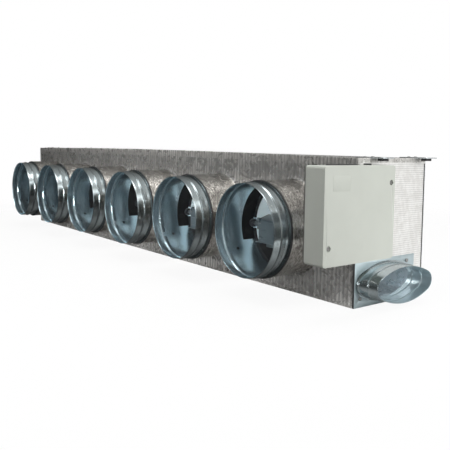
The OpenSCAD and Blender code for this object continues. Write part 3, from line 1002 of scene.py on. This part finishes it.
def sleeve_ring(zone):
    """The black ring that ends the sleeve, and the steel lip that it sits on."""
    low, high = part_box("sleeve_rings")
    a, b = low.y, high.y
    ring_r = (high.z - low.z) / 2
    soft = 1.1 * MM
    seat = SLEEVE_SEAT + 2.4 * MM
    third = 0.3 * soft
    profile = [(seat, a), (ring_r - soft, a), (ring_r - third, a + third), (ring_r, a + soft)]
    profile += [(ring_r, b - soft), (ring_r - third, b - third), (ring_r - soft, b), (seat, b)]
    piece = lathe(f"sleeve_ring_{zone.number}", profile, zone.x, zone.z, 128)
    finish_piece(piece, "black_rubber", "root", ["sleeve_rings"])
    lip = seat - 0.05 * MM
    profile = [(SLEEVE_SEAT, a + 0.4 * MM), (lip - 0.4 * MM, a + 0.2 * MM), (lip, a + 0.6 * MM)]
    profile += [(lip, b), (SLEEVE_SEAT, b)]
    piece = lathe(f"ring_seat_{zone.number}", profile, zone.x, zone.z, 128)
    # The lip takes the outside's darker copy of the sheet: painted shade.
    finish_piece(piece, "spigot_steel")


def collarette(zone):
    """Foil tape ring that seals the sleeve to the front face, pleated round the bend."""
    face = front_low.y
    low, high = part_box("spigot_sleeves")
    out_r = (high.z - low.z) / 2
    seed = 1.3 * zone.number

    def pleat(angle, y, r):
        return 0.5 * MM * waviness(math.cos(angle) * 0.3, r, math.sin(angle) * 0.3, 0.02, seed)

    steps = [k / 7 for k in range(8)]
    lift = 0.9 * MM
    top = [(out_r + 1 * MM + 11 * MM * t, face - lift - 4.2 * MM * (1 - t) ** 3) for t in steps]
    under = [(r, y + 0.4 * MM) for r, y in reversed(top)]
    piece = lathe(f"collarette_{zone.number}", top + under, zone.x, zone.z, 120, pleat)
    # The ring takes the front's darker copy of the foil: painted shade.
    finish_piece(piece, "foil_front_painted_shade", "root", (), "foil_sleeve", 50)


def seam_rivets():
    """Two rivets on each tube's seam: one in front of the damper, one behind it."""
    inward = Vector((-math.cos(SEAM_ANGLE), 0, -math.sin(SEAM_ANGLE)))
    places, axes = [], []
    for zone in zones:
        for along, sunk in ((-53 * MM, 0.42 * MM), (26 * MM, 0.05 * MM)):
            middle = Vector((zone.x, zone.axle.y + along, zone.z))
            places.append(middle - inward * (tube_r - sheet_t - sunk))
            axes.append(tuple(inward))
    node_name = "spigot_rivets"
    replaced, slot = [node_name], SLOT_OF[node_name]
    domes("seam_rivets", places, axes, 3.4 * MM, 1.1 * MM, "dark_rivet", "root", replaced, slot)


def spigots():
    """Tubes, sleeves and their rings; the linings keep their CAD shape."""
    for zone in zones:
        spigot_tube(zone)
        spigot_seam(zone)
        sleeve(zone)
        sleeve_ring(zone)
        collarette(zone)
    seam_rivets()


# ------------------------ dampers


BLADE_FLAT = 89 * MM
BLADE_NOTCH = 12 * MM
BLADE_SHARES = [0.3, 0.6, 0.8, 0.85, 0.87, 0.89, 0.91, 0.93, 0.95, 1.0]
BLADE_STEPS = 144


def blade_edge(angle, blade_r):
    """Radius of the blade's edge at an angle: a circle with room for the bushes."""
    if abs(blade_r * math.sin(angle)) < BLADE_NOTCH:
        return min(blade_r, BLADE_FLAT / max(abs(math.cos(angle)), 0.1))
    return blade_r


def blade_side(bm, zone, blade_r, y):
    """One face of the disc, with a shallow pressed ring; returns the points of its edge."""
    hub = bm.verts.new((zone.x, y, zone.z))
    rows = []
    for share in BLADE_SHARES:
        pressed = y - 0.5 * MM * math.exp(-(((share - 0.89) / 0.02) ** 2))
        row = []
        for s in range(BLADE_STEPS):
            angle = 2 * math.pi * s / BLADE_STEPS
            r = blade_edge(angle, blade_r) * share
            x, z = zone.x + r * math.cos(angle), zone.z + r * math.sin(angle)
            row.append(bm.verts.new((x, pressed, z)))
        rows.append(row)
    for s in range(BLADE_STEPS):
        t = (s + 1) % BLADE_STEPS
        bm.faces.new((hub, rows[0][s], rows[0][t]))
        for inner, outer in zip(rows, rows[1:]):
            bm.faces.new((inner[s], outer[s], outer[t], inner[t]))
    return rows[-1]


def blade(zone):
    """Steel disc, one sheet thick, with one shallow pressed ring near its edge."""
    low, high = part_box(f"blade_{zone.number}")
    blade_r = (high.z - low.z) / 2
    skin = 0.05 * MM
    bm = bmesh.new()
    front = blade_side(bm, zone, blade_r, low.y + skin)
    rear = blade_side(bm, zone, blade_r, high.y - skin)
    for s in range(BLADE_STEPS):
        t = (s + 1) % BLADE_STEPS
        bm.faces.new((front[s], front[t], rear[t], rear[s]))
    piece = from_bmesh(f"blade_disc_{zone.number}", bm)
    # The disc takes the blade's near-white copy of the sheet: painted light.
    finish_piece(piece, "blade_steel", zone.body, [f"blade_{zone.number}"])


def blade_painted_shade(zone):
    """A black sheet on the blade under the motor's ledge: painted shade for the shadow below the ledge."""
    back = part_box(f"blade_{zone.number}")[0].y - 0.1 * MM
    radius, drop = 90 * MM, 38 * MM
    first = math.asin(drop / radius)
    angles = [math.pi + first + (math.pi - 2 * first) * k / 40 for k in range(41)]
    rim = [(zone.x + radius * math.cos(a), zone.z + radius * math.sin(a)) for a in angles]
    bm = bmesh.new()
    levels = [(back, 1.0), (back - 0.7 * MM, 1.0), (back - 1.0 * MM, 0.985)]
    middle_z = zone.z - (radius + drop) / 2
    rings = []
    for y, share in levels:
        ring = []
        for x, z in rim:
            spot = (zone.x + (x - zone.x) * share, y, middle_z + (z - middle_z) * share)
            ring.append(bm.verts.new(spot))
        rings.append(ring)
    for low_ring, high_ring in zip(rings, rings[1:]):
        for k in range(len(rim)):
            after = (k + 1) % len(rim)
            bm.faces.new((low_ring[k], low_ring[after], high_ring[after], high_ring[k]))
    bm.faces.new(rings[0])
    bm.faces.new(rings[-1])
    finish_piece(from_bmesh(f"blade_painted_shade_{zone.number}", bm), "black_foam", zone.body)


MOTOR_BOW = 6 * MM


def motor(zone):
    """Geared motor: the CAD's bowed housing with a cover, ribs, a socket and screws."""
    number = zone.number
    softened(f"motor_{number}", 1.4 * MM, 3, angle=40)
    low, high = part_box(f"motor_{number}")
    half = (high.x - low.x) / 2 - 6 * MM
    bow_r = (half**2 + MOTOR_BOW**2) / (2 * MOTOR_BOW)
    bottom, top = low.z + 4 * MM, high.z - 14 * MM
    cover = 0.7 * MM

    def front(x):
        return low.y + bow_r - math.sqrt(bow_r**2 - x**2)

    def skin(out):
        def point(u, v):
            x = (2 * u - 1) * (half - 4 * MM)
            return (zone.x + x, front(x) - out, bottom + (top - bottom) * v)
        return point

    lid = slab(f"motor_cover_{number}", 24, 2, skin(cover), skin(-0.5 * MM))
    finish_piece(lid, "motor_plastic", zone.body)
    bm = bmesh.new()
    for k in range(6):
        x = (8 + 4.6 * k) * MM
        rib_low = (zone.x + x - 0.9 * MM, front(x) - 1.7 * MM, bottom + 5 * MM)
        rib_high = (zone.x + x + 0.9 * MM, front(x) + 1 * MM, top - 5 * MM)
        bevelled_block(bm, rib_low, rib_high, 0.4 * MM, 2)
    socket_low = (zone.x - 36 * MM, low.y - 0.2 * MM, bottom + 6 * MM)
    socket_high = (zone.x - 14 * MM, low.y + 5 * MM, bottom + 24 * MM)
    bevelled_block(bm, socket_low, socket_high, 0.8 * MM)
    finish_piece(from_bmesh(f"motor_ribs_{number}", bm), "motor_plastic", zone.body)
    x, zs = half - 8 * MM, (bottom + 4 * MM, top - 4 * MM)
    corners = [(zone.x + side * x, front(x) - cover, z) for side in (-1, 1) for z in zs]
    domes(f"motor_screws_{number}", corners, (0, -1, 0), 2.2 * MM, 1.0 * MM, "fastener_steel", zone.body)


def fixings(zone):
    """The blade's gasket, and the ledge and saddles under the motor with their rivets."""
    number = zone.number
    softened(f"blade_gasket_{number}", 0.6 * MM)
    softened(f"blade_fixings_{number}", 0.35 * MM, look="fixing_steel")
    low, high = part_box(f"blade_fixings_{number}")
    foot = low.z + 7 * MM
    spots = [(zone.x + side * 38 * MM, high.y - 1.5 * MM, foot) for side in (-1, 0, 1)]
    domes(f"foot_rivets_{number}", spots, (0, -1, 0), 2.6 * MM, 1.2 * MM, "fastener_steel", zone.body)


def dampers():
    """Everything that turns with each blade, then the axles and bushes that stay."""
    for zone in zones:
        blade(zone)
        # The black sheet under each motor's ledge is painted shade.
        blade_painted_shade(zone)
        motor(zone)
        fixings(zone)
    softened("axles", 0.4 * MM)
    softened("axle_bushes", 0.4 * MM)


# ------------------------ control box


def control_box():
    """Cover with a softly rounded front edge and a plain raised panel, and what it holds."""
    low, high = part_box("box_cover")
    rim = 6.1 * MM

    def front_rim(co):
        edge = min(co.y - low.y, high.y - co.y, co.z - low.z, high.z - co.z)
        return co.x > high.x - 0.1 * MM and edge < rim

    softened("box_cover", 5 * MM, 5, chosen=front_rim)
    # The base takes the near-black copy of the box's plastic: painted shade.
    softened("box_base", 0.6 * MM, look="base_abs_painted_shade")
    softened("cover_screws", 0.3 * MM)
    softened("cable_grommets", 0.7 * MM)
    softened("circuit_board", 0.2 * MM)
    softened("terminal_blocks", 0.5 * MM)
    bm = bmesh.new()
    panel_low = (high.x - 0.6 * MM, low.y + 22 * MM, high.z - 46 * MM)
    panel_high = (high.x + 0.25 * MM, low.y + 68 * MM, high.z - 18 * MM)
    bevelled_block(bm, panel_low, panel_high, 0.2 * MM)
    finish_piece(from_bmesh("blank_panel", bm), "box_abs")


# ------------------------ fresh-air inlet


OVAL_TIP = 22 * MM


def oval(half_w, half_h, grow):
    """Points of the collar's outline, moved out by grow: wide arcs joined by tight ones."""
    run = half_w - OVAL_TIP
    big = (half_h**2 + run**2 - OVAL_TIP**2) / (2 * (half_h - OVAL_TIP))
    lean = math.atan2(big - half_h, run)
    steps = 24
    points = []
    for quarter in range(4):
        sx, sz = ((1, 1), (-1, 1), (-1, -1), (1, -1))[quarter]
        arc = [(run, 0, OVAL_TIP, lean * k / 10) for k in range(10)]
        arc += [(0, half_h - big, big, lean + (math.pi / 2 - lean) * k / steps) for k in range(steps)]
        if quarter % 2:
            arc = arc[::-1]
        for cx, cz, r, angle in arc:
            nx, nz = math.cos(angle), math.sin(angle)
            points.append((sx * (cx + (r + grow) * nx), sz * (cz + (r + grow) * nz)))
    return points


def collar_profile(low, high, plate, foot):
    """(x, growth) points round the collar's wall: foot, two beads outside, then back inside."""
    length = high.x - plate
    beads = [plate + 3.2 * MM, plate + length * 0.53]
    steps = 60
    xs = [plate + 1.6 * MM + (length - 2 * MM) * k / steps for k in range(steps + 1)]
    outer = [(x, max(bead(x, middle, 2.2 * MM, 1.5 * MM) for middle in beads)) for x in xs]
    turned_foot = [(plate + 0.05 * MM, foot), (plate + 0.75 * MM, foot), (plate + 0.85 * MM, 0.6 * MM)]
    inner = [(x, grow - sheet_t) for x, grow in reversed(outer)]
    start = [(low.x, 0), (plate, 0)]
    return [*start, *turned_foot, *outer, (high.x, -0.3 * MM), *inner, (low.x, -sheet_t)]


def inlet_collar():
    """Oval collar with a turned foot on the plate and two rolled beads."""
    low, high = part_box("inlet_collar")
    foot = 4.2 * MM
    y, z = (low.y + high.y) / 2, (low.z + high.z) / 2
    half_w, half_h = (high.y - low.y) / 2 - foot, (high.z - low.z) / 2 - foot
    profile = collar_profile(low, high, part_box("inlet_plate")[1].x, foot)
    verts, faces = [], []
    for x, grow in profile:
        verts += [(x, y + py, z + pz) for py, pz in oval(half_w, half_h, grow)]
    count = len(verts) // len(profile)
    for k in range(len(profile)):
        here, there = k * count, (k + 1) % len(profile) * count
        for j in range(count):
            t = (j + 1) % count
            faces.append((here + j, here + t, there + t, there + j))
    piece = solid("inlet_oval", verts, faces)
    # The collar's outside takes the spigots' darker copy of the sheet, painted shade, and its inside takes the
    # lighter copy, painted light.
    finish_piece(piece, "spigot_steel", "root", ["inlet_collar"], crease=40)

    def inward(face):
        return (face.center.y - y) * face.normal.y + (face.center.z - z) * face.normal.z < 0

    line_inside(piece, "inlet_inner_painted_light", inward)


def inlet():
    """The collar, its plate and the plate's screws."""
    inlet_collar()
    softened("inlet_plate", 0.3 * MM, look="inlet_plate")
    softened("plate_screws", 0.5 * MM)


# ------------------------ all together


def dress_cad_nodes():
    """CAD nodes that stay keep their shape and get a detailed material."""
    for name, obj in NODES.items():
        obj.data.materials.clear()
        obj.data.materials.append(looks[SLOT_OF[name]])


make_camera()
make_studio()
dress_cad_nodes()
casing()
spigots()
dampers()
control_box()
inlet()
